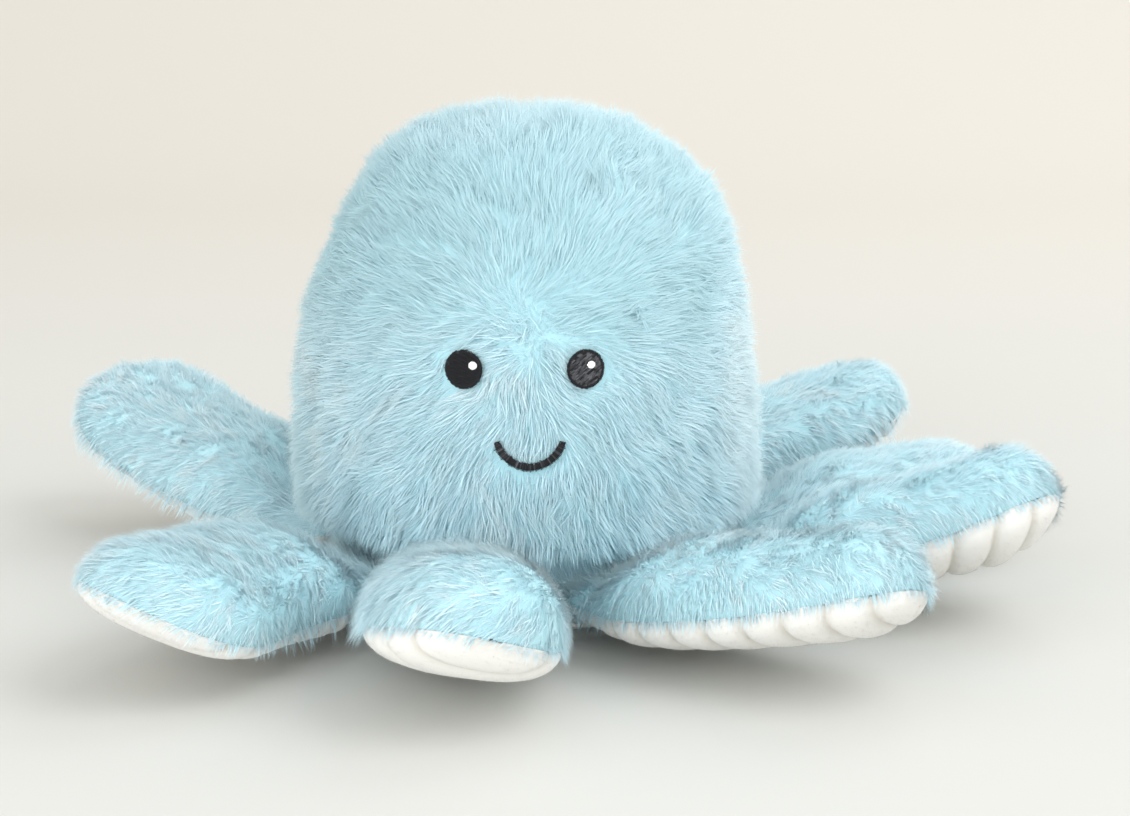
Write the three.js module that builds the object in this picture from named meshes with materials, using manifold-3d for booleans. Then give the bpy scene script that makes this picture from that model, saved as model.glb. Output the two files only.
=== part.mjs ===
// A stuffed octopus in long-pile fur: a tall domed head with an embroidered face, a flat ribbed base,
// and eight stuffed arms with fur backs and ribbed soles, each sewn to the body along one pinched seam.
// Millimetres, +Z up, the face looks along -Y. The origin is the middle of the base's underside.
import * as THREE from "three";
import { mergeVertices } from "three/addons/utils/BufferGeometryUtils.js";
import Module from "manifold-3d";

const wasm = await Module();
wasm.setup();

// Driving dimensions

const gap = 0.3; // between pieces that touch
const overrun = 5; // how far a cutter passes the surface it cuts

const head = {
  radius: 76, // at its widest, over the fur
  height: 156.5, // top of the fur above the base
  widestHeight: 33, // where the dome is widest
  underCurve: 6, // how far the dome rounds in below its widest
  hubRadius: 64, // the upright wall that the arms are sewn to
  furThickness: 9, // pile and backing together
  domePower: 2.3, // how late the dome starts to close
  crownPower: 2.9, // how flat the crown is
  frontHalfAngle: 67, // half the angle that the front or back panel spans
};

// Facets round and up the head, outside and inside, and over half the section of an arm's pieces. The seam
// of an arm that rolls or lifts is twisted, and has facets across it too.
const outside = { segments: 36, rings: 10 };
const inside = { segments: 24, rings: 7 };
const section = { back: 7, sole: 5, filling: 4, twistedSeam: 6 };

const base = {
  thickness: 5,
  ribPitch: 10,
  ribHeight: 1.6,
  crestShare: 0.5, // flat part of each rib, where it rests
};

const pouch = { radius: 38, height: 22 }; // bag of pellets that keeps the body upright

const stitch = { thickness: 1.5, depth: 1.5 }; // embroidery, pressed into the pile to this depth

const eye = { spacing: 36, centreHeight: 84, width: 11.2, height: 11.6 };

// The white highlight in each eye: its place from the eye's middle and its size, as shares of its width.
const highlightShares = {
  left_eye: { side: -1, acrossShare: 0.24, upShare: 0.11, sizeShare: 0.22 },
  right_eye: { side: 1, acrossShare: 0.15, upShare: 0.11, sizeShare: 0.2 },
};

const mouth = { offset: 1.5, radius: 10.2, strokeWidth: 2.3, lowHeight: 55.5, halfAngle: 74 };

const arm = {
  length: 104, // from the root line to the tip
  seamHeight: 12.5, // of the seam round the arm above the floor
  rootHalfWidth: 20,
  rootHalfThickness: 9,
  halfWidth: 27.5,
  backHeight: 26, // fur back above the side seam
  soleDepth: 11.3, // sole below the side seam
  swellLength: 34, // from the pinched root to full thickness
  widenLength: 30, // from the pinched root to full width
  tipLength: 32, // over which the outline rounds off
  tipDepth: 22, // over which the thickness rounds off
  furThickness: 7,
  soleThickness: 4.5,
  ribPitch: 10,
  ribHeight: 2.4,
  fillingStart: 16, // from the root line to the end of the stuffing
  backPower: 2.2, // how square the back's section is
  solePower: 2.5,
  tipPower: 2.2,
};

// The line that each arm turns about, from the body's axis.
const rootRadius = head.hubRadius + gap + arm.rootHalfThickness;

// Shares of a rib's pitch where its crest starts and ends.
const crestShares = [0.28, 0.72];

// Shares of the half round root and of the rounded tip where the skins have a ring of points.
const rootRingShares = [-0.97, -0.8, -0.5, 0];
const tipRingShares = [0.55, 0.8, 0.94, 0.995];

// Each arm's directions in degrees: where its root is, and how far it sweeps round and rolls over by its tip.
const armTurns = {
  front_arm: { azimuth: -102, sweep: 32, roll: -17 },
  front_right_arm: { azimuth: -63, sweep: 45, roll: -21 },
  right_arm: { azimuth: -24, sweep: 29, roll: -36 },
  right_rear_arm: { azimuth: 11, sweep: 28, roll: 4 },
  rear_right_arm: { azimuth: 53, sweep: -58, roll: 5 },
  rear_arm: { azimuth: 100, sweep: 14, roll: 0 },
  left_rear_arm: { azimuth: 152, sweep: -23, roll: -6 },
  front_left_arm: { azimuth: 219.5, sweep: 52, roll: -26 },
};

// Each arm's shares of the sizes above: its length, its width, the lift of its tip by length and the
// thickness near its tip.
const armShares = {
  front_arm: { lengthShare: 1, widthShare: 1, liftShare: 0.19, plumpShare: 1.05 },
  front_right_arm: { lengthShare: 1.02, widthShare: 1, liftShare: 0.2, plumpShare: 0.94 },
  right_arm: { lengthShare: 0.95, widthShare: 1.01, liftShare: 0.23, plumpShare: 1.04 },
  right_rear_arm: { lengthShare: 0.92, widthShare: 1, liftShare: 0.04, plumpShare: 0.9 },
  rear_right_arm: { lengthShare: 1, widthShare: 1, liftShare: 0.25, plumpShare: 0.89 },
  rear_arm: { lengthShare: 0.98, widthShare: 0.98, liftShare: 0.04, plumpShare: 0.9 },
  left_rear_arm: { lengthShare: 1, widthShare: 1.13, liftShare: 0.33, plumpShare: 0.66 },
  front_left_arm: { lengthShare: 1.06, widthShare: 1.07, liftShare: 0.17, plumpShare: 0.8 },
};

const arms = Object.entries(armShares).map(([name, shares]) => ({
  name,
  ...armTurns[name],
  length: shares.lengthShare * arm.length,
  halfWidth: shares.widthShare * arm.halfWidth,
  lift: shares.liftShare * arm.length,
  plumpShare: shares.plumpShare,
}));

// Materials

const finish = (name, color, roughness) =>
  Object.assign(new THREE.MeshStandardMaterial({ color, roughness, metalness: 0 }), { name });

const materials = {
  fur: finish("blue_fur", 0xb4dde9, 0.95),
  sole: finish("white_ribbed_plush", 0xf1f0eb, 0.95),
  thread: finish("black_thread", 0x24242a, 0.6),
  glint: finish("white_thread", 0xf4f4f2, 0.6),
  fibre: finish("white_fibre", 0xf6f6f4, 1),
  pouch: finish("pouch_cotton", 0xe6e0d2, 0.9),
};

// Solids

function solid(geometry) {
  const bare = geometry.clone();
  bare.deleteAttribute("normal");
  bare.deleteAttribute("uv");
  const merged = mergeVertices(bare, 1e-4);
  const vertProperties = new Float32Array(merged.attributes.position.array);
  const triVerts = new Uint32Array(merged.index.array);
  return new wasm.Manifold(new wasm.Mesh({ numProp: 3, vertProperties, triVerts }));
}

function meshOf(name, body, material) {
  const { vertProperties, triVerts } = body.getMesh();
  const geometry = new THREE.BufferGeometry();
  geometry.setAttribute("position", new THREE.BufferAttribute(new Float32Array(vertProperties), 3));
  geometry.setIndex(new THREE.BufferAttribute(new Uint32Array(triVerts), 1));
  geometry.computeVertexNormals();
  const mesh = new THREE.Mesh(geometry, material);
  mesh.name = name;
  return mesh;
}

// A turned body from a profile that runs from the bottom of the axis to its top.
function turned(profile, segments) {
  return solid(new THREE.LatheGeometry(profile, segments).rotateX(Math.PI / 2));
}

// A straight prism of a shape drawn as seen from the front, running from the body's axis out past the face.
function facePrism(shape) {
  const depth = head.radius + overrun;
  return solid(new THREE.ExtrudeGeometry(shape, { depth, bevelEnabled: false, curveSegments: 10 })
    .rotateX(Math.PI / 2));
}

// A closed skin over rings of points, each ring running the same way round, with flat ends.
function loft(rings) {
  const count = rings[0].length;
  const points = rings.flat();
  const index = [];
  for (let r = 0; r + 1 < rings.length; r++)
    for (let k = 0; k < count; k++) {
      const a = r * count + k;
      const b = r * count + ((k + 1) % count);
      index.push(a, a + count, b, b, a + count, b + count);
    }
  for (const [r, flip] of [[0, true], [rings.length - 1, false]]) {
    const middle = rings[r].reduce((sum, p) => sum.add(p), new THREE.Vector3()).divideScalar(count);
    points.push(middle);
    const apex = points.length - 1;
    for (let k = 0; k < count; k++) {
      const a = r * count + k;
      const b = r * count + ((k + 1) % count);
      index.push(...(flip ? [apex, a, b] : [apex, b, a]));
    }
  }
  return solid(new THREE.BufferGeometry().setFromPoints(points).setIndex(index));
}

const steps = (count, f) => Array.from({ length: count + 1 }, (_, i) => f(i / count));
const smooth = (t) => THREE.MathUtils.smoothstep(t, 0, 1);
const radians = THREE.MathUtils.degToRad;

// Head

// The head's profile, drawn in by inset on every side and standing on floor.
function headProfile(inset, floor, rings) {
  const radius = head.radius - inset;
  const widest = head.widestHeight + inset;
  const top = head.height - inset;
  const hub = head.hubRadius - inset;
  const under = steps(4, (t) => new THREE.Vector2(
    hub + (radius - hub) * Math.sin(t * Math.PI / 2),
    widest - head.underCurve * Math.cos(t * Math.PI / 2)));
  const dome = steps(rings, (t) => {
    const climb = Math.sin(t * Math.PI / 2);
    const across = (1 - climb ** head.domePower) ** (1 / head.crownPower);
    return new THREE.Vector2(t === 1 ? 0 : radius * across, widest + (top - widest) * climb);
  });
  return [new THREE.Vector2(0, floor), new THREE.Vector2(hub, floor), ...under, ...dome.slice(1)];
}

const headFloor = base.thickness + gap;
const headBody = (inset, floor) =>
  turned(headProfile(inset, floor, outside.rings), outside.segments);
const stuffedBody = (inset, floor) =>
  turned(headProfile(inset, floor, inside.rings), inside.segments);
const cavity = stuffedBody(head.furThickness, 0);
const headShell = headBody(0, headFloor).subtract(cavity);

// A wedge about the body's axis, each side drawn in by half the gap.
function wedge(azimuth, halfAngle) {
  const reach = head.radius * 2;
  const half = radians(halfAngle);
  const shape = new THREE.Shape([
    new THREE.Vector2(0, 0),
    new THREE.Vector2(reach * Math.cos(half), -reach * Math.sin(half)),
    new THREE.Vector2(reach * 2, 0),
    new THREE.Vector2(reach * Math.cos(half), reach * Math.sin(half)),
  ]);
  const geometry = new THREE.ExtrudeGeometry(shape, { depth: head.height + overrun, bevelEnabled: false });
  return solid(geometry.translate(gap / 2 / Math.sin(half), 0, 0).rotateZ(radians(azimuth)));
}

const ellipse = (x, y, width, height, extra) =>
  new THREE.Shape().absellipse(x, y, width / 2 + extra, height / 2 + extra, 0, Math.PI * 2);

// The smile is part of a ring, widened by extra all round.
function smile(extra) {
  const middle = mouth.lowHeight + mouth.radius;
  const outer = mouth.radius + mouth.strokeWidth / 2 + extra;
  const inner = mouth.radius - mouth.strokeWidth / 2 - extra;
  const spread = radians(mouth.halfAngle) + extra / mouth.radius;
  const down = -Math.PI / 2;
  const shape = new THREE.Shape();
  shape.absarc(mouth.offset, middle, outer, down - spread, down + spread, false);
  shape.absarc(mouth.offset, middle, inner, down + spread, down - spread, true);
  return shape;
}

const stitchFloor = stitch.depth + stitch.thickness;
const stitchLayer = headBody(stitch.depth, 0).subtract(headBody(stitchFloor, -overrun));
const recess = headBody(-overrun, 0).subtract(headBody(stitchFloor + gap, -overrun));

let frontPanel = headShell.intersect(wedge(-90, head.frontHalfAngle));
const face = new THREE.Group();

for (const [name, shares] of Object.entries(highlightShares)) {
  const x = (shares.side * eye.spacing) / 2;
  const eyeShape = (extra) => facePrism(ellipse(x, eye.centreHeight, eye.width, eye.height, extra));
  const size = shares.sizeShare * eye.width;
  const highlight = (extra) => facePrism(ellipse(x + shares.acrossShare * eye.width,
    eye.centreHeight + shares.upShare * eye.width, size, size, extra));
  frontPanel = frontPanel.subtract(eyeShape(gap).intersect(recess));
  const iris = stitchLayer.intersect(eyeShape(0)).subtract(highlight(gap));
  face.add(
    meshOf(name, iris, materials.thread),
    meshOf(name + "_highlight", stitchLayer.intersect(highlight(0)), materials.glint),
  );
}
frontPanel = frontPanel.subtract(facePrism(smile(gap)).intersect(recess));
face.add(meshOf("mouth", stitchLayer.intersect(facePrism(smile(0))), materials.thread));

const sideHalfAngle = 90 - head.frontHalfAngle;
const headGroup = new THREE.Group();
headGroup.add(
  meshOf("head_front_panel", frontPanel, materials.fur),
  meshOf("head_back_panel", headShell.intersect(wedge(90, head.frontHalfAngle)), materials.fur),
  meshOf("head_left_panel", headShell.intersect(wedge(180, sideHalfAngle)), materials.fur),
  meshOf("head_right_panel", headShell.intersect(wedge(0, sideHalfAngle)), materials.fur),
  face,
);

// What the body holds: pellets in a pouch that has settled flat, and loose fibre all round it.

function pouchBody(extra, floor) {
  const lowest = radians(-35);
  const bulge = pouch.height / (1 - Math.sin(lowest));
  const middle = headFloor + pouch.height - bulge;
  const side = steps(7, (t) => {
    const turn = lowest + t * (Math.PI / 2 - lowest);
    const across = t === 1 ? 0 : (pouch.radius + extra) * Math.cos(turn);
    return new THREE.Vector2(across, middle + (bulge + extra) * Math.sin(turn));
  });
  side[0].y = floor;
  return turned([new THREE.Vector2(0, floor), ...side], 24);
}

const fibre = stuffedBody(head.furThickness + gap, headFloor);
headGroup.add(
  meshOf("head_filling", fibre.subtract(pouchBody(gap, -overrun)), materials.fibre),
  meshOf("weighted_pouch", pouchBody(0, headFloor), materials.pouch),
);

// Base: a round panel of ribbed plush. Its ribs run from side to side and are pressed flat where they rest.

function basePanel() {
  const ribs = 2 * Math.ceil(head.hubRadius / base.ribPitch) + 1;
  const start = (-ribs * base.ribPitch) / 2;
  const slope = (base.ribPitch * (1 - base.crestShare)) / 2;
  const shape = new THREE.Shape().moveTo(start, base.thickness);
  for (let i = 0; i < ribs; i++) {
    const from = start + i * base.ribPitch;
    shape.lineTo(from, base.ribHeight);
    shape.quadraticCurveTo(from, 0, from + slope, 0);
    shape.lineTo(from + base.ribPitch - slope, 0);
    shape.quadraticCurveTo(from + base.ribPitch, 0, from + base.ribPitch, base.ribHeight);
  }
  shape.lineTo(-start, base.thickness);
  const depth = 2 * head.hubRadius + 2 * overrun;
  const slab = new THREE.ExtrudeGeometry(shape, { depth, bevelEnabled: false, curveSegments: 2 })
    .translate(0, 0, -depth / 2)
    .rotateX(Math.PI / 2)
    .rotateZ(Math.PI / 2);
  const rounding = base.thickness / 2;
  const disc = turned([
    new THREE.Vector2(0, 0),
    new THREE.Vector2(head.hubRadius - rounding, 0),
    new THREE.Vector2(head.hubRadius, rounding),
    new THREE.Vector2(head.hubRadius, base.thickness),
    new THREE.Vector2(0, base.thickness),
  ], outside.segments);
  return solid(slab).intersect(disc);
}

headGroup.add(meshOf("base_panel", basePanel(), materials.sole));

// Arms

// How much of the full outline is left at s along an arm, where it rounds off over reach at the tip.
function tipShare(s, length, reach, power) {
  const t = THREE.MathUtils.clamp((s - length + reach) / reach, 0, 1);
  return (1 - t ** power) ** (1 / power);
}

// The root is a half round about the seam line, so that it stays close to the body as the arm turns.
const rootShare = (s) => (s < 0 ? Math.sqrt(1 - (s / arm.rootHalfThickness) ** 2) : 1);

function thickness(spec, s, full) {
  const swell = smooth(s / arm.swellLength);
  const plump = full * (1 + (spec.plumpShare - 1) * smooth(s / spec.length));
  const plain = arm.rootHalfThickness * rootShare(s) + (plump - arm.rootHalfThickness) * swell;
  return plain * tipShare(s, spec.length, arm.tipDepth, 2);
}

function halfWidth(spec, s) {
  const widen = smooth(s / arm.widenLength);
  const plain = arm.rootHalfWidth + (spec.halfWidth - arm.rootHalfWidth) * widen;
  return plain * tipShare(s, spec.length, arm.tipLength, arm.tipPower);
}

// The arm's middle line, with its sideways and upward directions, at s along it.
function frameAt(spec, s) {
  const start = radians(spec.azimuth);
  const along = Math.max(s, 0) / spec.length;
  const rise = (along + along ** 2) / 2;
  const bend = radians(spec.sweep) * along;
  const heading = start + bend;
  // A steady bend is an arc of a circle, so its chord turns by half the bend.
  const chord = Math.max(s, 0) * (bend ? Math.sin(bend / 2) / (bend / 2) : 1);
  const back = rootRadius + Math.min(s, 0);
  const middle = new THREE.Vector3(
    back * Math.cos(start) + chord * Math.cos(start + bend / 2),
    back * Math.sin(start) + chord * Math.sin(start + bend / 2),
    arm.seamHeight + spec.lift * rise);
  const ahead = new THREE.Vector3(Math.cos(heading), Math.sin(heading), 0);
  const side = new THREE.Vector3(Math.sin(heading), -Math.cos(heading), 0);
  side.applyAxisAngle(ahead, radians(spec.roll) * rise);
  return { middle, side, up: new THREE.Vector3().crossVectors(side, ahead) };
}

// Half a rounded section: from one side seam over to the other, width across and height out.
function halfSection({ middle, side, up }, width, height, power, segments, lift) {
  return steps(segments, (t) => {
    const turn = t * Math.PI;
    const across = Math.sign(Math.cos(turn)) * Math.abs(Math.cos(turn)) ** (2 / power);
    const out = Math.abs(Math.sin(turn)) ** (2 / power);
    return middle.clone().addScaledVector(side, width * across).addScaledVector(up, height * out + lift);
  });
}

// Where along an arm the valleys between its ribs lie, from the root line to the tip.
function valleys(spec) {
  const count = Math.floor(spec.length / arm.ribPitch);
  return steps(count, (t) => spec.length * t).slice(0, -1);
}

const rootRings = rootRingShares.map((share) => share * arm.rootHalfThickness);
const tipRings = (spec) => tipRingShares.map((share) => spec.length - arm.tipDepth * (1 - share));

// A ring closed across the seam. Arms that roll or lift get points there, because that face is twisted.
function closed(spec, half) {
  const segments = spec.roll || spec.lift > arm.backHeight ? section.twistedSeam : 1;
  const [first, last] = [half[0], half[half.length - 1]];
  return [...half, ...steps(segments, (t) => last.clone().lerp(first, t)).slice(1, -1)];
}

function backBody(spec) {
  const blunt = spec.length - arm.tipDepth;
  const stations = [
    ...rootRings,
    ...valleys(spec).slice(1).filter((s) => s < blunt),
    blunt,
    ...tipRings(spec),
  ];
  return loft(stations.map((s) => {
    const height = thickness(spec, s, arm.backHeight) - gap / 2;
    return closed(spec,
      halfSection(frameAt(spec, s), halfWidth(spec, s), height, arm.backPower, section.back, gap / 2));
  }));
}

// Ribs run across the sole. Each has a rounded crest between two sharp valleys.
function soleBody(spec) {
  const stations = rootRings.map((s) => ({ s, dip: 0 }));
  const starts = valleys(spec);
  const pitch = starts[1] - starts[0];
  for (const from of starts) {
    if (from > 0) stations.push({ s: from, dip: arm.ribHeight });
    for (const share of crestShares) stations.push({ s: from + pitch * share, dip: 0 });
  }
  stations.push({ s: tipRings(spec).pop(), dip: 0 });
  return loft(stations.map(({ s, dip }) => {
    const width = halfWidth(spec, s);
    const depth = thickness(spec, s, arm.soleDepth) - gap / 2;
    const sunk = Math.min(dip, depth / 2, width / 2);
    return closed(spec,
      halfSection(frameAt(spec, s), sunk - width, sunk - depth, arm.solePower, section.sole, -gap / 2));
  }));
}

// The stuffing, or the room for it: the arm drawn in by its skins on every side.
function fillingBody(spec, extra) {
  const from = arm.fillingStart - extra;
  const inner = { ...spec, length: spec.length - arm.furThickness + extra };
  const blunt = inner.length - arm.tipDepth;
  const stations = [...steps(5, (t) => from + (blunt - from) * t), ...tipRings(inner).slice(1)];
  return loft(stations.map((s) => {
    const frame = frameAt(spec, s);
    const close = tipShare(s, inner.length, arm.tipDepth, 2);
    const fur = (arm.furThickness - extra) * close;
    const width = halfWidth(inner, s) - fur;
    const up = thickness(inner, s, arm.backHeight) - fur;
    const down = thickness(inner, s, arm.soleDepth) - (arm.soleThickness - extra) * close;
    const over = halfSection(frame, width, up, arm.backPower, section.filling, 0);
    const below = halfSection(frame, -width, -down, arm.solePower, section.filling, 0);
    return [...over, ...below.slice(1, -1)];
  }));
}

const armGroup = new THREE.Group();
for (const spec of arms) {
  const room = fillingBody(spec, gap);
  armGroup.add(
    meshOf(spec.name + "_fur", backBody(spec).subtract(room), materials.fur),
    meshOf(spec.name + "_sole", soleBody(spec).subtract(room), materials.sole),
    meshOf(spec.name + "_filling", fillingBody(spec, 0), materials.fibre),
  );
}

const octopus = new THREE.Group();
octopus.name = "plush_octopus";
octopus.add(headGroup, armGroup);

export default octopus;
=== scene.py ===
"""A stuffed octopus: long-pile fur over a head and eight arms, white ribbed soles and a stitched face."""
import math
from collections import namedtuple

import bpy
import numpy as np
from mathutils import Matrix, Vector
from mathutils.kdtree import KDTree


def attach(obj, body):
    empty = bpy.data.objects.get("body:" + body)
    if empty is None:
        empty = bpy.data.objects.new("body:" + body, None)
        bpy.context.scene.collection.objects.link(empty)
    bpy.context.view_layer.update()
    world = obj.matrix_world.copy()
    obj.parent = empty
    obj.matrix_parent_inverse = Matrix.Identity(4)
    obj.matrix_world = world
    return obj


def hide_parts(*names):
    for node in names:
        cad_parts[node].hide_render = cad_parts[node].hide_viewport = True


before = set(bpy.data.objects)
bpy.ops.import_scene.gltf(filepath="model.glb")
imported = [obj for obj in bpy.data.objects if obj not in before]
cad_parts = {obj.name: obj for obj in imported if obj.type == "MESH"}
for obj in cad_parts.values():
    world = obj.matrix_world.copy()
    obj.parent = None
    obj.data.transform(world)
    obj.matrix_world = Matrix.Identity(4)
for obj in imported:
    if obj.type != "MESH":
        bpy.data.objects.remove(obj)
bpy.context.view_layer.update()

bl_info = {
    "name": "Plush octopus",
    "version": (1, 0, 0),
    "blender": (4, 5, 0),
    "location": "3D View > Sidebar > Plush",
    "description": "Makes a stuffed octopus in long-pile fur around its packed model",
    "category": "Object",
}

# Sizes in metres and degrees: those of the part's source, with taller ribs, a sag and lumps for the looks

HEAD = {
    "radius": 0.076, "height": 0.1565, "widest": 0.033, "under": 0.006, "hub": 0.064, "floor": 0.0053,
    "dome_power": 2.3, "crown_power": 2.9, "sag": 0.004,
}
PANELS = {  # the azimuth of each head panel's middle and half the angle that it spans
    "head_front": (-90, 67), "head_back": (90, 67), "head_left": (180, 23), "head_right": (0, 23),
}
LUMPS = (  # where the stuffing pushes the head out: azimuth, height, how far both spread, and the push
    (-8, 0.126, 26, 0.020, 0.0042), (188, 0.120, 30, 0.022, -0.0026), (60, 0.100, 40, 0.03, 0.0015),
)
ARM = {
    "root_radius": 0.0733, "seam_height": 0.0125, "root_half_width": 0.020, "root_half_thickness": 0.009,
    "root_reach": 0.0085, "back_height": 0.026, "sole_depth": 0.0113, "swell": 0.034, "widen": 0.030,
    "tip_length": 0.032, "tip_depth": 0.022, "rib_pitch": 0.010, "rib_height": 0.0032, "back_power": 2.2,
    "sole_power": 2.5, "tip_power": 2.2, "least_width": 0.0004, "least_height": 0.0003,
}
Arm = namedtuple("Arm", "azimuth sweep roll length half_width lift plump")
ARMS = {  # lift is how far the tip rises, and plump the tip's share of the full thickness
    "front_arm": Arm(-102, 32, -17, 0.104, 0.0275, 0.01976, 1.05),
    "front_right_arm": Arm(-63, 45, -21, 0.10608, 0.0275, 0.0208, 0.94),
    "right_arm": Arm(-24, 29, -36, 0.0988, 0.02777, 0.02392, 1.04),
    "right_rear_arm": Arm(11, 28, 4, 0.09568, 0.0275, 0.00416, 0.9),
    "rear_right_arm": Arm(53, -58, 5, 0.104, 0.0275, 0.026, 0.89),
    "rear_arm": Arm(100, 14, 0, 0.10192, 0.02695, 0.00416, 0.9),
    "left_rear_arm": Arm(152, -23, -6, 0.104, 0.03107, 0.03432, 0.66),
    "front_left_arm": Arm(219.5, 52, -26, 0.11024, 0.02942, 0.01768, 0.8),
}
BASE = {"rib_pitch": 0.010, "rib_height": 0.0016, "inset": 0.0012, "gap": 0.0007, "rim": 0.93}
EYE = {"spacing": 0.036, "height": 0.084, "width": 0.0112, "tall": 0.0116}
MOUTH = {"offset": 0.0015, "radius": 0.0102, "stroke": 0.0023, "low": 0.0555, "half_angle": 74}
FLOOR_GAP = 0.0006  # the fur that hangs lowest stops this far above the floor
ARM_SEED, SOLE_SEED, BASE_SEED, FACE_SEED = 20, 200, 300, 400  # the arms' seed is added to the fur's
SEAM_GAP = 0.00015  # how far each cloth reaches past its seam

# Cloths: how far each lies inside the toy's outline, how thick it is and how finely it is divided

INSET = {"head": 0.0042, "arm": 0.0034, "arm_edge": 0.0006, "sole": 0.0006}
CLOTH = {"body": 0.0012, "arm": 0.0010, "patch": 0.0008}
GRID = {
    "head_rows": 64, "head_columns": 0.75,  # columns for each degree of half the panel's angle
    "arm_rows": 34, "arm_columns": 26, "sole_columns": 44, "rows_of_a_rib": 12, "root_rows": 6, "base": 105,
}
SKIN_PLACE = (0.8, 0.05)  # where the fur's backing lies on the palette
PATCH_PLACE = (0.05, 0.3)  # where the cloth under dark stitches lies on it
PALETTE_EDGE = 0.002
CORNER_STEP = 0.004  # keeps each triangle from having no area on the palette

# Fur: random fields are given as layers of strength, size and seed

PILE = {
    "fine_width": 0.72, "short_share": 0.42, "short_reach": (0.45, 0.8), "short_lean": 0.68,
    "reach": (0.72, 1.15), "widths": (0.7, 1.25), "flatness": 0.3, "root_depth": 0.0006,
    "wander": (7, 0.011, 5), "scatter": 0.07, "tuft": 9, "pull": 0.24, "tone_scatter": 0.026,
    "tuft_tone_scatter": 0.036, "softness": 0.93, "sweep": 0.25, "lift": 0.3, "least_lift": 0.1,
}
HEAD_LEAN = (58, 80)  # the fur's angles from the normal near its root and at its end
ARM_LEAN = (62, 82)
FACE_CENTRE = np.array((0.0, -0.075, 0.097))  # the head's fur is brushed outwards from here
CURLS = {"head": ((0.32, 0.018, 31), (0.18, 0.006, 37)), "arm": ((0.34, 0.014, 41), (0.26, 0.004, 43))}
PLAIN_TONE = 0.74
MOTTLES = {
    "head": ((0.13, 0.045, 71), (0.10, 0.014, 73)), "arm": ((0.12, 0.035, 81), (0.15, 0.010, 83)),
    "sole": ((0.10, 0.012, 55), (0.06, 0.003, 57)),
}
# Painted light on the head's right panel and painted shade on its left panel, as tone added to each.
PAINTED_SIDE_LIGHT_AND_SHADE = {"head_right": 0.10, "head_left": -0.02}
SHORTER = ((0.006, 0.93), (0.004, 0.84), (0.0025, 0.75), (0.0012, 0.66))  # margins round the stitches
HANGING = {  # the fur over a sole's edge: its added length share, and the share of the arm that it reaches
    "front_arm": (0.30, 0.50), "front_left_arm": (0.25, 0.45), "left_rear_arm": (0.25, 1.0),
    "rear_right_arm": (0.40, 1.0),
}
BRUSHED = {"front_arm": (-0.80, -0.50, 0), "front_left_arm": (-0.95, -0.25, 0)}  # where their fur points
NAP = {"root_depth": 0.0003, "half_width": 0.0001, "reach": (0.6, 1.1), "widths": (0.7, 1.3), "tone": 0.55}

# Stitches

STITCH_DEPTH = 0.0015
PATCH_DEPTH = STITCH_DEPTH + 0.0002
STITCH = {
    "row": 0.00036, "rim_step": 0.00038, "rim": 0.0011, "rim_rise": 0.00045, "rise": 0.00022,
    "glint_row": 0.00034, "glint_length": 0.01, "glint_rise": 0.0003, "glint_lift": 0.00035,
    "satin_step": 0.00037, "satin_rise": 0.0006, "satin_reach": 0.56, "satin_jitter": 0.00014,
    "patch_margin": 0.0003, "fill_margin": 0.0006, "least": 0.0006, "shift": 0.0002,
}
Eye = namedtuple("Eye", "side glint_x glint_z glint_size angle length tone spread")
# The tones of the eyes' stitches carry painted sheen: the right eye's stitches are lighter and speckled.
EYES = {  # the glint as shares of the eye's width; the angle, length and tones of the stitches that fill it
    "left_eye": Eye(-1, 0.24, 0.11, 0.22, 3, 0.0026, -0.14, 0.08),
    "right_eye": Eye(1, 0.15, 0.11, 0.20, 38, 0.0013, 0.40, 0.34),
}

# Stage

SWEEP = {"width": 8, "front": -2.5, "back": 1.9, "height": 3.2, "bend": 1.0, "change": (0.05, 1.1)}
LAMPS = {  # place and width
    "key": ((1.14, -0.74, 1.38), 1.5),
    "front": ((-0.60, -1.32, 0.40), 1.0),
    "back": ((0.70, 0.85, 1.15), 1.3),
}
LAMP_AIM = (0, 0, 0.06)
CAMERA = {"place": (0.00135, -0.88224, 0.24340), "pan": 0.744, "tilt": 11.879, "lens": 89.513, "sensor": 36}


# Settings

class PlushPileSettings(bpy.types.PropertyGroup):
    # Painted shade, in part: the fur is coloured darker deep in the pile.
    root_shade_colour: bpy.props.FloatVectorProperty(
        name="Root colour", description="Fur deep in the pile", subtype="COLOR", default=(0.45, 0.73, 0.80))
    middle_colour: bpy.props.FloatVectorProperty(
        name="Middle colour", description="Fur halfway up", subtype="COLOR", default=(0.63, 0.89, 1.0))
    tip_colour: bpy.props.FloatVectorProperty(
        name="Tip colour", description="Ends of the fur", subtype="COLOR", default=(0.75, 0.95, 1.0))
    length: bpy.props.FloatProperty(
        name="Length", description="Length of the fur", subtype="DISTANCE", default=0.0105)
    width: bpy.props.FloatProperty(
        name="Lock width", description="Width of one lock at its root", subtype="DISTANCE", default=0.00034)
    spacing: bpy.props.FloatProperty(
        name="Lock spacing", description="Distance between locks", subtype="DISTANCE", default=0.0021)
    fine_spacing: bpy.props.FloatProperty(
        name="Fine spacing", description="Distance between the fine hairs under the locks",
        subtype="DISTANCE", default=0.00068)
    seed: bpy.props.IntProperty(name="Seed", description="Chooses another scatter of locks", default=11)


class PlushSoleSettings(bpy.types.PropertyGroup):
    # The deep colour is painted shade in the grooves between the ribs.
    groove_shade_colour: bpy.props.FloatVectorProperty(
        name="Deep colour", description="Nap between the ribs", subtype="COLOR", default=(0.66, 0.62, 0.53))
    colour: bpy.props.FloatVectorProperty(
        name="Colour", description="Nap on the ribs", subtype="COLOR", default=(0.88, 0.875, 0.855))
    nap: bpy.props.FloatProperty(
        name="Nap", description="Length of the nap", subtype="DISTANCE", default=0.0009)
    spacing: bpy.props.FloatProperty(
        name="Nap spacing", description="Distance between hairs of nap", subtype="DISTANCE", default=0.00115)


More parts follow.
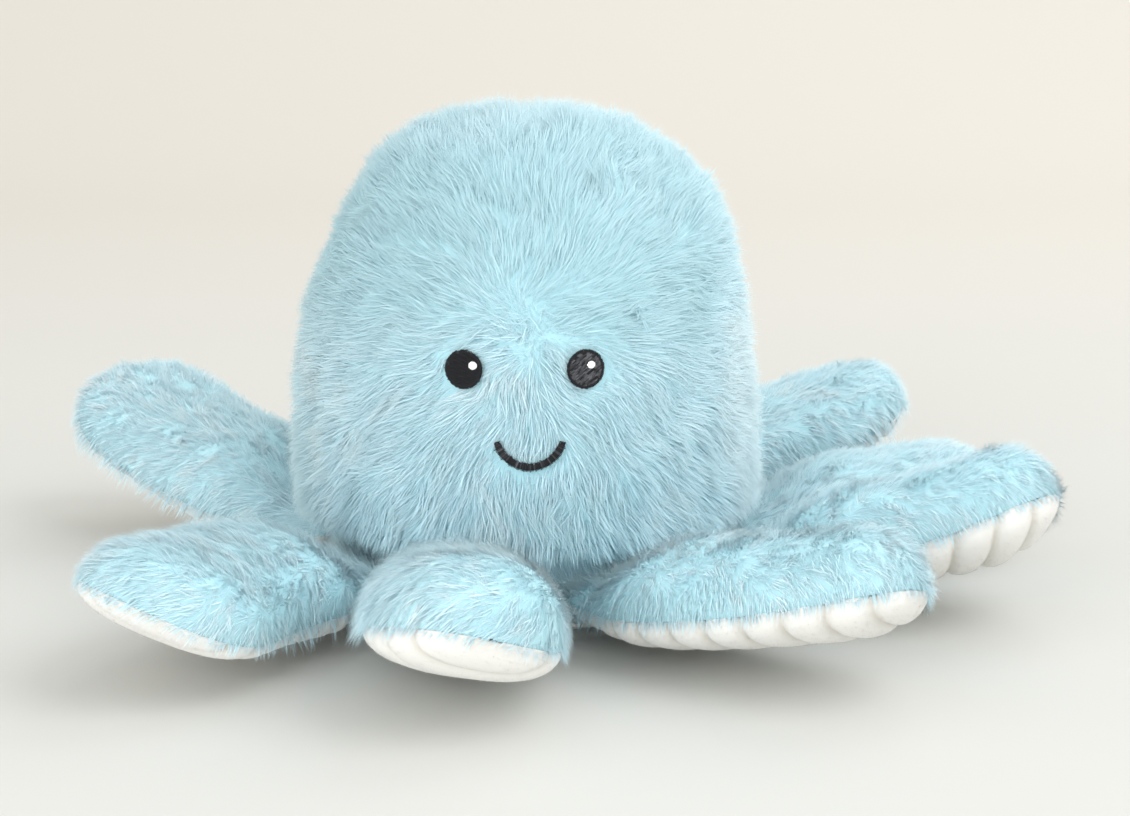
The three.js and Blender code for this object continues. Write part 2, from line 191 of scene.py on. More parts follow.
class PlushThreadSettings(bpy.types.PropertyGroup):
    black: bpy.props.FloatVectorProperty(
        name="Black", description="Darkest black thread", subtype="COLOR", default=(0.006, 0.006, 0.008))
    # Painted sheen: lighter stitches are coloured towards this grey where the satin catches the light.
    painted_sheen: bpy.props.FloatVectorProperty(
        name="Charcoal", description="Black thread where it catches the light", subtype="COLOR",
        default=(0.12, 0.12, 0.13))
    thickness: bpy.props.FloatProperty(
        name="Thickness", description="Thickness of the thread", subtype="DISTANCE", default=0.00044)


class PlushStageSettings(bpy.types.PropertyGroup):
    floor_colour: bpy.props.FloatVectorProperty(
        name="Floor", description="Colour of the floor", subtype="COLOR", default=(0.622, 0.627, 0.602))
    backdrop_colour: bpy.props.FloatVectorProperty(
        name="Backdrop", description="Colour of the backdrop", subtype="COLOR", default=(0.65, 0.625, 0.575))
    backdrop_lift: bpy.props.FloatProperty(
        name="Backdrop lift", description="How much brighter the backdrop looks than the room lights it",
        default=0.08)
    key_power: bpy.props.FloatProperty(
        name="Key light", description="Power of the large lamp at the right", unit="POWER", default=13.8)
    front_power: bpy.props.FloatProperty(
        name="Front light", description="Power of the weaker lamp at the left", unit="POWER", default=10.0)
    back_power: bpy.props.FloatProperty(
        name="Back light", description="Power of the soft lamp behind the toy", unit="POWER", default=5.0)
    world_strength: bpy.props.FloatProperty(
        name="Room light", description="Strength of the even light from all round", default=0.99)


# Number helpers

def smooth(t):
    t = np.clip(t, 0, 1)
    return t * t * (3 - 2 * t)


def fade(values, start, width):
    """0 at start and smoothly up to 1 over the width, which is below zero where lower values fade in."""
    return smooth((values - start) / width)


def unit(vectors):
    return vectors / np.maximum(np.linalg.norm(vectors, axis=-1, keepdims=True), 1e-12)


def dot(a, b):
    return (a * b).sum(-1, keepdims=True)


def along_surface(vectors, normals):
    """The part of each vector that lies in the surface."""
    return unit(vectors - normals * dot(vectors, normals))


def curve(a, b, c, t):
    """Places at t along curves from a, past b, to c."""
    return a * (1 - t) ** 2 + b * 2 * t * (1 - t) + c * t ** 2


def waves(points, size, seed, count=14):
    """A soft random field from about -1 to 1 whose lumps are size apart."""
    rng = np.random.default_rng(seed)
    directions = unit(rng.normal(size=(count, 3))) * (2 * math.pi / size) * rng.uniform(0.6, 1.4, (count, 1))
    phases = rng.uniform(0, 2 * math.pi, count)
    return np.sin(points @ directions.T + phases).sum(-1) / math.sqrt(count / 1.3)


def drift(points, size, seed):
    """A soft random field of vectors."""
    return np.stack([waves(points, size, seed + k) for k in range(3)], -1)


def layered(field, points, layers):
    """A random field of several layers."""
    return sum(strength * field(points, size, seed) for strength, size, seed in layers)


# Mesh helpers

def deselect():
    if bpy.context.mode != "OBJECT":
        bpy.ops.object.mode_set(mode="OBJECT")
    bpy.ops.object.select_all(action="DESELECT")


def read(items, field, kind):
    values = np.empty(len(items) * 3, kind)
    items.foreach_get(field, values)
    return values.reshape(-1, 3)


def write(items, field, values, kind=np.float32):
    items.foreach_set(field, values.reshape(-1).astype(kind))


def apply_solidify(piece, **values):
    bpy.context.view_layer.objects.active = piece
    modifier = piece.modifiers.new("Solidify", "SOLIDIFY")
    for key, value in values.items():
        setattr(modifier, key, value)
    bpy.ops.object.modifier_apply(modifier=modifier.name)


def grid_normals(points):
    """Unit normals of a grid surface, away from the stuffing that it goes round."""
    normals = unit(np.cross(np.gradient(points, axis=1), np.gradient(points, axis=0)))
    middle = points.reshape(-1, 3).mean(0) + (0, 0, 0.0001)
    return normals * (1 if dot(normals, points - middle).sum() > 0 else -1)


def cloth_from_grid(name, points, thickness):
    """A grid shaped to the points, given the thickness of a backing fabric on its inner side."""
    rows, columns = points.shape[0] - 1, points.shape[1] - 1
    deselect()
    bpy.ops.mesh.primitive_grid_add(x_subdivisions=columns, y_subdivisions=rows, size=1)
    piece = bpy.context.object
    piece.name = name
    write(piece.data.vertices, "co", points)
    piece.data.update()
    outwards = grid_normals(points)[rows // 2, columns // 2]
    middle = piece.data.polygons[(rows // 2) * columns + columns // 2]
    if np.dot(np.array(middle.normal), outwards) < 0:
        bpy.ops.object.mode_set(mode="EDIT")
        bpy.ops.mesh.select_all(action="SELECT")
        bpy.ops.mesh.flip_normals()
        bpy.ops.object.mode_set(mode="OBJECT")
    apply_solidify(piece, thickness=thickness, offset=-1, use_even_offset=False)
    return piece


def arrays_of(piece):
    """The vertices, vertex normals and triangles of a mesh, which is then removed."""
    mesh = piece.data
    mesh.calc_loop_triangles()
    vertices = read(mesh.vertices, "co", np.float32)
    normals = read(mesh.vertices, "normal", np.float32)
    triangles = read(mesh.loop_triangles, "vertices", np.int32)
    bpy.data.objects.remove(piece)
    return vertices, normals, triangles


def on_palette(uv):
    return np.clip(uv, PALETTE_EDGE, 1 - PALETTE_EDGE)


def skin_part(piece, tone, along):
    """A backing's arrays for assemble. Tone and along are its palette place: one value each, or a value for
    each point of the grid that it was made from."""
    vertices, normals, triangles = arrays_of(piece)
    values = [np.resize(np.asarray(value, float), len(vertices)) for value in (tone, along)]
    uv = np.stack(values, -1)[triangles.reshape(-1)]
    uv += np.tile([[0, 0], [CORNER_STEP, 0], [0, CORNER_STEP]], (len(triangles), 1))
    return vertices, triangles, normals[triangles.reshape(-1)], on_palette(uv)


def assemble(name, parts, material):
    """One mesh from several sets of arrays, with its palette places and its shading normals."""
    starts = np.cumsum([0] + [len(part[0]) for part in parts])
    vertices = np.concatenate([part[0] for part in parts])
    triangles = np.concatenate([part[1] + start for part, start in zip(parts, starts)])
    normals = unit(np.concatenate([part[2] for part in parts]))
    uv = np.concatenate([part[3] for part in parts])
    mesh = bpy.data.meshes.new(name)
    mesh.vertices.add(len(vertices))
    write(mesh.vertices, "co", vertices)
    mesh.loops.add(len(triangles) * 3)
    write(mesh.loops, "vertex_index", triangles, np.int32)
    mesh.polygons.add(len(triangles))
    write(mesh.polygons, "loop_start", np.arange(len(triangles)) * 3, np.int32)
    mesh.update(calc_edges=True)
    write(mesh.polygons, "use_smooth", np.ones(len(triangles)), bool)
    write(mesh.uv_layers.new(name="OFBake").data, "uv", uv)
    write(mesh.attributes.new("custom_normal", "FLOAT_VECTOR", "CORNER").data, "vector", normals)
    mesh.materials.append(material)
    piece = bpy.data.objects.new(name, mesh)
    bpy.context.scene.collection.objects.link(piece)
    return piece


def master(name, sides, rings, end):
    """A strand or stitch along Z from 0 to 1, with a radius at each ring's height and at its end."""
    deselect()
    bpy.ops.mesh.primitive_cone_add(
        vertices=sides, radius1=1, radius2=end, depth=1, location=(0, 0, 0.5), end_fill_type="NGON")
    piece = bpy.context.object
    piece.name = name
    bpy.ops.object.transform_apply(location=True)
    bpy.ops.object.mode_set(mode="EDIT")
    for height, _ in rings[1:-1 if end else None]:
        bpy.ops.mesh.select_all(action="SELECT")
        bpy.ops.mesh.bisect(plane_co=(0, 0, height), plane_no=(0, 0, 1))
    bpy.ops.object.mode_set(mode="OBJECT")
    for vertex in piece.data.vertices:
        across = Vector((vertex.co.x, vertex.co.y))
        if across.length > 1e-6:
            radius = min(rings, key=lambda ring: abs(ring[0] - vertex.co.z))[1]
            vertex.co.xy = across.normalized() * radius
    vertices, _, triangles = arrays_of(piece)
    flat = np.ptp(vertices[triangles][..., 2], axis=1) < 1e-6
    return vertices, triangles, flat


SHAPES = {}


def make_masters():
    """The lock, the fine hair and the stitch that are copied over the toy."""
    SHAPES["lock"] = master("lock", 3, [(0, 0.8), (0.45, 1.0)], 0)
    SHAPES["hair"] = master("hair", 3, [(0, 1.0)], 0)
    SHAPES["stitch"] = master("stitch", 6, [(0, 0.35), (0.1, 0.85), (0.5, 1.0), (0.9, 0.85), (1, 0.35)], 1)


def copies(shape, line, ups, widths, thicknesses, tones, soft_normals, share):
    """A copy of a master along each curve of line, its starts, middles and ends, as arrays for assemble.
    The shading normals are partly the surface's own, by share, so that the pile looks soft."""
    local, triangles, flat = SHAPES[shape]
    t = local[:, 2][None, :, None]
    a, b, c = (points[:, None, :] for points in line)
    ahead = unit((b - a) * (1 - t) + (c - b) * t)
    side = unit(np.cross(ups[:, None, :], ahead))
    out = np.cross(ahead, side)
    offset = (side * local[:, 0][None, :, None] * widths[:, None, None]
              + out * local[:, 1][None, :, None] * thicknesses[:, None, None])
    normals = unit(offset + ahead * 1e-6 + out * 1e-9)
    normals = normals * (1 - share) + soft_normals[:, None, :] * share
    vertices = curve(a, b, c, t) + offset
    first, second, third = (vertices[:, triangles[:, k]] for k in range(3))
    faces = unit(np.cross(second - first, third - first))[:, :, None]
    normals = normals[:, triangles]
    # A shading normal never points to the far side of its face, or that face would render black.
    normals = normals + faces * np.maximum(0.5 - dot(normals, faces), 0)
    every = triangles[None] + (np.arange(len(tones)) * len(local))[:, None, None]
    u = tones[:, None] + local[:, 0][None, :] * 0.006
    v = np.broadcast_to(local[:, 2][None, :], u.shape)
    uv = np.stack([u, v], -1)[:, triangles]
    uv[:, flat, 1, 1] += CORNER_STEP
    uv[:, flat, 2, 1] += 2 * CORNER_STEP
    vertices, every, normals = (array.reshape(-1, 3) for array in (vertices, every, normals))
    return vertices, every, normals, on_palette(uv.reshape(-1, 2))


# Pile

def roots_on(points, spacing, rng, weight=None):
    """Random roots on a grid surface, evenly spread by area, with their normals and grid places."""
    normals = grid_normals(points)
    a, b, c, d = points[:-1, :-1], points[:-1, 1:], points[1:, 1:], points[1:, :-1]
    area = np.linalg.norm(np.cross(c - a, d - b), axis=-1) / 2
    if weight is not None:
        area = area * weight((a + c) / 2)
    shares = area.reshape(-1) / area.sum()
    count = int(area.sum() / spacing ** 2)
    cells = rng.choice(len(shares), count, p=shares)
    row, column = np.divmod(cells, area.shape[1])
    v, u = rng.random((count, 1)), rng.random((count, 1))

    def at(values):
        top = values[row, column] * (1 - u) + values[row, column + 1] * u
        bottom = values[row + 1, column] * (1 - u) + values[row + 1, column + 1] * u
        return top * (1 - v) + bottom * v

    return at(points), unit(at(normals)), row + v[:, 0], column + u[:, 0]


def gathered(starts, middles, ends, rng):
    """Strands drawn together at their ends in small tufts, one tuft for each group of neighbours."""
    chosen = rng.choice(len(starts), max(1, len(starts) // PILE["tuft"]), replace=False)
    tree = KDTree(len(chosen))
    for k, index in enumerate(chosen):
        tree.insert(starts[index], k)
    tree.balance()
    nearest = chosen[[tree.find(start)[1] for start in starts]]
    pulls = PILE["pull"] * rng.uniform(0.5, 1.3, (len(starts), 1))
    middles = middles + (middles[nearest] - middles) * pulls * 0.45
    ends = ends + (ends[nearest] - ends) * pulls
    return middles, ends, nearest


def grow(points, settings, rng, flow, length, tone, lean, weight=None, keep_clear=None):
    """The pile on a grid surface, as two layers: fine straight hairs, of which a share is short and more
    upright, and the curved locks over them. flow, length, tone and lean give each root's direction,
    length share, tone and the angles from the normal at the root and the end."""
    layers = []
    wander, wander_size, wander_seed = PILE["wander"]
    for shape, spacing, thin, short_share in (
            ("hair", settings.fine_spacing, PILE["fine_width"], PILE["short_share"]),
            ("lock", settings.spacing, 1, 0)):
        starts, normals, row, column = roots_on(points, spacing, rng, weight)
        count = len(starts)
        way = along_surface(flow(starts, row, column), normals)
        short = rng.random(count) < short_share
        reach = settings.length * length(starts, row, column) * rng.uniform(*PILE["reach"], count)
        reach *= np.where(short, rng.uniform(*PILE["short_reach"], count), 1)
        half = reach[:, None] * 0.5
        upright = 0.7 + 0.3 * fade(face_distance(starts), 0, 0.02)
        upright *= np.where(short, PILE["short_lean"], 1)
        tilt = wander * waves(starts, wander_size, wander_seed)
        near, far = (np.radians(angle * upright + tilt)[:, None] for angle in lean)
        middles = starts + (normals * np.cos(near) + way * np.sin(near)) * half
        ends = middles + (normals * np.cos(far) + way * np.sin(far)) * half
        ends += rng.normal(size=(count, 3)) * reach[:, None] * PILE["scatter"]
        middles, ends, nearest = gathered(starts, middles, ends, rng)
        for places in (middles, ends):
            places[:, 2] = np.maximum(places[:, 2], FLOOR_GAP)
        tones = tone(starts, row, column) + rng.normal(size=count) * PILE["tone_scatter"]
        tones += (rng.normal(size=count) * PILE["tuft_tone_scatter"])[nearest]
        keep = np.ones(count, bool)
        if keep_clear is not None:
            keep, middles, ends = keep_clear(starts, middles, ends)
        widths = settings.width * thin * 0.5 * rng.uniform(*PILE["widths"], count)
        soft = normals + way * PILE["sweep"] + np.array((0, 0, PILE["lift"]))
        soft[:, 2] = np.maximum(soft[:, 2], PILE["least_lift"])
        line = [places[keep] for places in (starts - normals * PILE["root_depth"], middles, ends)]
        normals, widths, tones, soft = (values[keep] for values in (normals, widths, tones, soft))
        layers.append(copies(shape, line, normals, widths, widths * PILE["flatness"],
                             np.clip(tones, 0, 1), unit(soft), PILE["softness"]))
    return layers


# Head

def head_profile(inset, rows):
    """Radius and height up the head's side, drawn in by inset, at even steps."""
    radius, top, hub = HEAD["radius"] - inset, HEAD["height"] - inset, HEAD["hub"] - inset
    widest = HEAD["widest"] + inset
    t = np.linspace(0, 1, 12)[:, None] * math.pi / 2
    under = np.hstack([hub + (radius - hub) * np.sin(t), widest - HEAD["sag"] - HEAD["under"] * np.cos(t)])
    climb = np.sin(np.linspace(0, 1, 200)[1:, None] * math.pi / 2)
    across = np.maximum(1 - climb ** HEAD["dome_power"], 0) ** (1 / HEAD["crown_power"])
    dome = np.hstack([radius * across, widest + (top - widest) * climb])
    line = np.vstack([[hub, HEAD["floor"]], under, dome])
    line[:, 0] = np.maximum(line[:, 0], 0.0005)
    steps = np.concatenate([[0], np.cumsum(np.linalg.norm(np.diff(line, axis=0), axis=1))])
    even = np.linspace(0, steps[-1], rows + 1)
    return np.interp(even, steps, line[:, 0]), np.interp(even, steps, line[:, 1])


def stuffing_lumps(azimuth, height):
    """How far the stuffing pushes the head's side out: fuller at the upper right than at the left."""
    push_out = 0
    for middle, level, spread, tall, push in LUMPS:
        turn = (azimuth - middle + 180) % 360 - 180
        push_out = push_out + push * np.exp(-(turn / spread) ** 2 - ((height - level) / tall) ** 2)
    return push_out * fade(height, 0.156, -0.02)


def head_grid(panel):
    middle, half = PANELS[panel]
    overlap = math.degrees(SEAM_GAP / HEAD["radius"])
    columns = int(half * GRID["head_columns"])
    azimuth = np.linspace(middle + half + overlap, middle - half - overlap, columns + 1)[None, :]
    radius, height = (values[:, None] for values in head_profile(INSET["head"], GRID["head_rows"]))
    radius = radius + stuffing_lumps(azimuth, height)
    turn = np.radians(azimuth)
    return np.stack([radius * np.cos(turn), radius * np.sin(turn), height + 0 * turn], -1)[::-1]


def face_distance(points):
    return np.linalg.norm((points - FACE_CENTRE) * (1, 0.6, 1), axis=-1)


def head_flow(points, row, column):
    """Brushed away from the face, and down at the back and below."""
    outward = unit((points - FACE_CENTRE) * (1, 0.8, 1.05))
    behind = fade(points[:, 1:2], -0.01, 0.05)
    low = fade(points[:, 2:], 0.050, -0.03)
    down = np.array((0, 0, -1.0))
    crown = 1 - fade(face_distance(points), 0, 0.014)[:, None]
    way = outward * (1 - behind * 0.8) * (1 - 0.6 * crown) + down * (behind * 0.8 + low * 0.9)
    calm = 1 - 0.7 * fade(abs(points[:, :1]), 0.056, 0.014)
    way += layered(drift, points, CURLS["head"]) * calm
    return way + drift(points, 0.0009, 39) * (0.14 * calm + crown)


def head_length(points, row, column):
    shares = np.full(len(points), 1.0)
    for margin, share in SHORTER:
        shares[under_stitches(points, margin)] = share
    return (0.9 + 0.1 * fade(points[:, 2], 0.024, 0.014)) * shares


def head_tone(points, row, column):
    """Mottled and deeper low down, with painted shade on the forehead and painted light at the right side
    and at the crown.
    """
    x, y, z = points.T
    # Painted shade: the tone is lowered on the forehead.
    painted_brow_shade = fade(z, 0.080, 0.030) * fade(y, 0.012, -0.030)
    # Painted light: the tone is raised at the right side and at the crown.
    painted_side_and_crown_light = 0.56 * fade(x, 0.046, 0.022) + 0.42 * fade(z, 0.128, 0.020)
    mottle = layered(waves, points, MOTTLES["head"])
    return PLAIN_TONE + mottle - 0.06 * fade(z, 0.040, -0.020) - 0.76 * painted_brow_shade + painted_side_and_crown_light


def head_weight(points):
    """Sparse under the hem, where the arms hide the head."""
    return np.where(points[..., 2] > 0.010, 1.0, 0.25)


class OBJECT_OT_plush_head(bpy.types.Operator):
    """Make the four fur panels of the head"""
    bl_idname = "object.plush_head"
    bl_label = "Head"

    def execute(self, context):
        settings = context.scene.plush_pile
        for number, panel in enumerate(PANELS):
            rng = np.random.default_rng(settings.seed + number)
            points = head_grid(panel)
            backing = cloth_from_grid(panel + "_backing", points, CLOTH["body"])

            def tone(places, row, column):
                # with the painted side light or shade of its panel
                return head_tone(places, row, column) + PAINTED_SIDE_LIGHT_AND_SHADE.get(panel, 0)

            pile = grow(points, settings, rng, head_flow, head_length, tone, HEAD_LEAN, head_weight,
                        clear_of_stitches if panel == "head_front" else None)
            parts = [skin_part(backing, *SKIN_PLACE), *pile]
            piece = assemble(panel + "_fur", parts, pile_material(settings))
            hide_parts(panel + "_panel")
            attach(piece, "body")
        return {"FINISHED"}


# Arms

def tip_share(s, length, reach, power):
    t = np.clip((s - length + reach) / reach, 0, 1)
    return np.maximum(1 - t ** power, 0) ** (1 / power)


def arm_frame(spec, s):
    """The arm's middle line with the ways ahead, sideways and up at s along it."""
    start = math.radians(spec.azimuth)
    share = np.maximum(s, 0) / spec.length
    rise = (share + share ** 2) / 2
    bend = math.radians(spec.sweep) * share
    chord = np.maximum(s, 0) * np.sinc(bend / 2 / math.pi)
    back = ARM["root_radius"] + np.minimum(s, 0)
    middle = np.stack([
        back * math.cos(start) + chord * np.cos(start + bend / 2),
        back * math.sin(start) + chord * np.sin(start + bend / 2),
        ARM["seam_height"] + spec.lift * rise], -1)
    heading = start + bend
    ahead = np.stack([np.cos(heading), np.sin(heading), 0 * heading], -1)
    level = np.stack([np.sin(heading), -np.cos(heading), 0 * heading], -1)
    turn = (math.radians(spec.roll) * rise)[..., None]
    side = level * np.cos(turn) + np.cross(ahead, level) * np.sin(turn)
    return middle, ahead, side, np.cross(side, ahead)


def arm_thickness(spec, s, full):
    pinch = ARM["root_half_thickness"]
    root = np.sqrt(np.clip(1 - (np.minimum(s, 0) / pinch) ** 2, 0, 1))
    swollen = full * (1 + (spec.plump - 1) * fade(s, 0, spec.length))
    plain = pinch * root + (swollen - pinch) * fade(s, 0, ARM["swell"])
    return plain * tip_share(s, spec.length, ARM["tip_depth"], 2)


def arm_half_width(spec, s):
    narrow = ARM["root_half_width"]
    plain = narrow + (spec.half_width - narrow) * fade(s, 0, ARM["widen"])
    return plain * tip_share(s, spec.length, ARM["tip_length"], ARM["tip_power"])


def back_stations(spec):
    """Places along an arm's back, closer together at its rounded tip."""
    count, tip = GRID["arm_rows"], ARM["tip_depth"]
    straight = np.linspace(-ARM["root_reach"], spec.length - tip, count)
    turn = np.linspace(0, 1, count // 2 + 1)[1:] * math.pi / 2 * 0.97
    return np.concatenate([straight, spec.length - tip + tip * np.sin(turn)])


def half_section(spec, s, width, height, power, columns):
    """One half of the cushion round the arm's middle line, reaching a little past the seam."""
    turn = np.linspace(0, math.pi, columns + 1)[None, :]
    across = np.sign(np.cos(turn)) * abs(np.cos(turn)) ** (2 / power)
    out = height[:, None] * abs(np.sin(turn)) ** (2 / power) - SEAM_GAP
    middle, _, side, up = (values[:, None, :] for values in arm_frame(spec, s))
    return middle + side * (width[:, None] * across)[..., None] + up * out[..., None]


def arm_back_grid(spec):
    """The arm's fur side, drawn in more at its crest than at its seams, and its places along the arm."""
    s = back_stations(spec)
    close = tip_share(s, spec.length + 0.004, ARM["tip_depth"], 2) * (0.35 + 0.65 * fade(s, 0, 0.03))
    width = arm_half_width(spec, s) - INSET["arm_edge"] * close
    height = arm_thickness(spec, s, ARM["back_height"]) - INSET["arm"] * close
    points = half_section(spec, s, np.maximum(width, ARM["least_width"]),
                          np.maximum(height, ARM["least_height"]), ARM["back_power"], GRID["arm_columns"])
    pull_back = smooth((s - spec.length + ARM["tip_depth"]) / ARM["tip_depth"]) * INSET["arm_edge"]
    return points - arm_frame(spec, s)[1][:, None, :] * pull_back[:, None, None], s


class OBJECT_OT_plush_arms(bpy.types.Operator):
    """Make the fur backs of the eight arms"""
    bl_idname = "object.plush_arms"
    bl_label = "Arm backs"

    def execute(self, context):
        settings = context.scene.plush_pile
        for number, (arm, spec) in enumerate(ARMS.items()):
            rng = np.random.default_rng(settings.seed + ARM_SEED + number)
            points, stations = arm_back_grid(spec)
            backing = cloth_from_grid(arm + "_backing", points, CLOTH["arm"])

            def along(row):
                return np.interp(row, np.arange(len(stations)), stations)

            def flow(places, row, column):
                _, ahead, side, up = arm_frame(spec, along(row))
                off_crest = 1 - 2 * column / GRID["arm_columns"]
                fall = fade(abs(off_crest), 0.68, 0.32)
                way = ahead * 0.75 + side * (0.5 * off_crest)[:, None]
                if arm in BRUSHED:
                    way = np.array(BRUSHED[arm])
                curl = layered(drift, places, CURLS["arm"])
                return way - up * (0.5 + 1.2 * fall)[:, None] + curl * (1 - 0.6 * fall)[:, None]

            def length(places, row, column):
                s = along(row)
                edge = 0.5 - abs(column / GRID["arm_columns"] - 0.5)
                added, reach = HANGING.get(arm, (0, 1))
                hang = added * (1 - fade(edge, 0, 0.12)) * (1 - fade(s / spec.length, reach, 0.3))
                return (1.20 - 0.52 * fade(s, 0, 0.028)) * (0.8 + 0.2 * fade(edge, 0, 0.16)) + hang

            def tone(places, row, column):
                # Painted shade: the fur is darker near the arm's root, in the crease under the head.
                painted_crease_shade = smooth(1 - along(row) / 0.026)
                return PLAIN_TONE + layered(waves, places, MOTTLES["arm"]) - 0.10 * painted_crease_shade

            pile = grow(points, settings, rng, flow, length, tone, ARM_LEAN)
            parts = [skin_part(backing, *SKIN_PLACE), *pile]
            piece = assemble(arm + "_pile", parts, pile_material(settings))
            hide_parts(arm + "_fur")
            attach(piece, arm)
        return {"FINISHED"}


# Soles and base

def rib_dip(share):
    """How deep a round rib has fallen at a share of its pitch, from 0 at its crest to 1 in the valleys."""
    return 1 - np.maximum(1 - abs(2 * share - 1) ** 2.4, 0) ** 0.5


def velvet(points, dip):
    """The palette places of a ribbed backing: paler towards the crests, with painted shade in the valleys,
    and soft mottling.
    """
    dips = np.broadcast_to(dip, points.shape[:2]).reshape(-1)
    tone = 0.5 + layered(waves, points.reshape(-1, 3), MOTTLES["sole"])
    return np.clip(tone, 0, 1), np.clip(0.92 - 0.75 * dips ** 1.5, 0.05, 1)


def sole_grid(spec):
    """The arm's ribbed side, with how deep each row lies between the ribs."""
    count = int(math.floor(spec.length / ARM["rib_pitch"] + 1e-9))
    root = np.linspace(-ARM["root_reach"], 0, GRID["root_rows"])[:-1]
    ribs = np.linspace(0, spec.length - 0.0003, count * GRID["rows_of_a_rib"] + 1)
    s = np.concatenate([root, ribs])
    dip = ARM["rib_height"] * rib_dip((s / (spec.length / count)) % 1) * (s > 0)
    width, depth = arm_half_width(spec, s), arm_thickness(spec, s, ARM["sole_depth"])
    close = tip_share(s, spec.length + 0.002, 0.012, 2)
    sunk = np.minimum(dip, np.minimum(width, depth) / 2) + INSET["sole"] * close
    width = np.maximum(width - sunk, ARM["least_width"])
    depth = np.maximum(depth - sunk, ARM["least_height"])
    points = half_section(spec, s, -width, -depth, ARM["sole_power"], GRID["sole_columns"])
    return points, (dip / ARM["rib_height"])[:, None]


def nap_on(points, settings, rng):
    """Short upright hairs all over a ribbed cloth."""
    starts, normals, _, _ = roots_on(points, settings.spacing, rng)
    count = len(starts)
    lean = unit(normals + drift(starts, 0.004, 51) * 0.28 + rng.normal(size=(count, 3)) * 0.22)
    reach = settings.nap * rng.uniform(*NAP["reach"], (count, 1))
    starts = starts - normals * NAP["root_depth"]
    ends = starts + lean * reach
    widths = NAP["half_width"] * rng.uniform(*NAP["widths"], count)
    tones = NAP["tone"] + 0.10 * waves(starts, 0.02, 53) + rng.normal(size=count) * 0.05
    sideways = unit(np.cross(lean, rng.normal(size=(count, 3))))
    line = (starts, (starts + ends) / 2, ends)
    return copies("hair", line, sideways, widths, widths, np.clip(tones, 0, 1), normals, 0.96)


def ribbed(name, points, dip, thickness, settings, seed):
    """A ribbed cloth with its nap."""
    backing = cloth_from_grid(name + "_backing", points, thickness)
    skin = skin_part(backing, *velvet(points, dip))
    nap = nap_on(points, settings, np.random.default_rng(seed))
    return assemble(name + "_ribs", [skin, nap], sole_material(settings))


class OBJECT_OT_plush_soles(bpy.types.Operator):
    """Make the white ribbed soles of the eight arms"""
    bl_idname = "object.plush_soles"
    bl_label = "Arm soles"

    def execute(self, context):
        settings = context.scene.plush_sole
        for number, (arm, spec) in enumerate(ARMS.items()):
            piece = ribbed(arm, *sole_grid(spec), CLOTH["arm"], settings, SOLE_SEED + number)
            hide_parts(arm + "_sole")
            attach(piece, arm)
        return {"FINISHED"}


class OBJECT_OT_plush_base(bpy.types.Operator):
    """Make the round ribbed panel under the body"""
    bl_idname = "object.plush_base"
    bl_label = "Base"

    def execute(self, context):
        settings = context.scene.plush_sole
        square = np.linspace(-1, 1, GRID["base"])
        u, v = np.meshgrid(square, square[::-1])
        radius = HEAD["hub"] - BASE["inset"]
        x = radius * u * np.sqrt(1 - v * v / 2)
        y = radius * v * np.sqrt(1 - u * u / 2)
        rim = smooth((np.hypot(x, y) / radius - BASE["rim"]) / 0.07)
        # Near the rim the panel sinks, and it darkens with the painted valley shade.
        dip = np.maximum(rib_dip((y / BASE["rib_pitch"] + 0.5) % 1), 1.2 * rim)
        points = np.stack([x, y, BASE["gap"] + BASE["rib_height"] * dip], -1)[:, ::-1]
        piece = ribbed("base", points, dip[:, ::-1], CLOTH["body"], settings, BASE_SEED)
        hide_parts("base_panel")
        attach(piece, "body")
        return {"FINISHED"}


# Stitched face

def on_face(x, z, depth):
    """Places on the front of the head at depth below its surface, from x and z."""
    radius, top, widest = HEAD["radius"] - depth, HEAD["height"] - depth, HEAD["widest"] + depth
    climb = np.clip((z - widest) / (top - widest), 0, 1)
    around = radius * (1 - climb ** HEAD["dome_power"]) ** (1 / HEAD["crown_power"])
    return np.stack([x, -np.sqrt(around ** 2 - x ** 2), z], -1)


def face_normals(x, z):
    step = 0.0005
    across = on_face(x + step, z, 0) - on_face(x - step, z, 0)
    upwards = on_face(x, z + step, 0) - on_face(x, z - step, 0)
    return unit(np.cross(across, upwards))


def under_stitches(points, margin):
    """Whether each place lies in front of an eye or the mouth, widened by margin."""
    x, z = points[:, 0], points[:, 2]
    inside = np.zeros(len(points), bool)
    for side in (-1, 1):
        across = (x - side * EYE["spacing"] / 2) / (EYE["width"] / 2 + margin)
        up = (z - EYE["height"]) / (EYE["tall"] / 2 + margin)
        inside |= across ** 2 + up ** 2 < 1
    centre = MOUTH["low"] + MOUTH["radius"]
    distance = np.hypot(x - MOUTH["offset"], z - centre)
    angle = np.degrees(np.arctan2(x - MOUTH["offset"], centre - z))
    inside |= ((abs(distance - MOUTH["radius"]) < MOUTH["stroke"] / 2 + margin)
               & (abs(angle) < MOUTH["half_angle"] + math.degrees(margin / MOUTH["radius"])))
    return inside & (points[:, 1] < 0)


def clear_of_stitches(starts, middles, ends):
    """Leaves out strands that would grow through the stitches and shortens those that would hang over."""
    share = np.ones(len(starts))
    for part in np.linspace(1, 0.08, 24):
        share = np.where(under_stitches(curve(starts, middles, ends, part), -0.0003), part - 0.06, share)
    keep = ~under_stitches(starts, 0.0002) & (share > 0.25)
    short = share[:, None]
    return keep, starts * (1 - short) + middles * short, curve(starts, middles, ends, short)


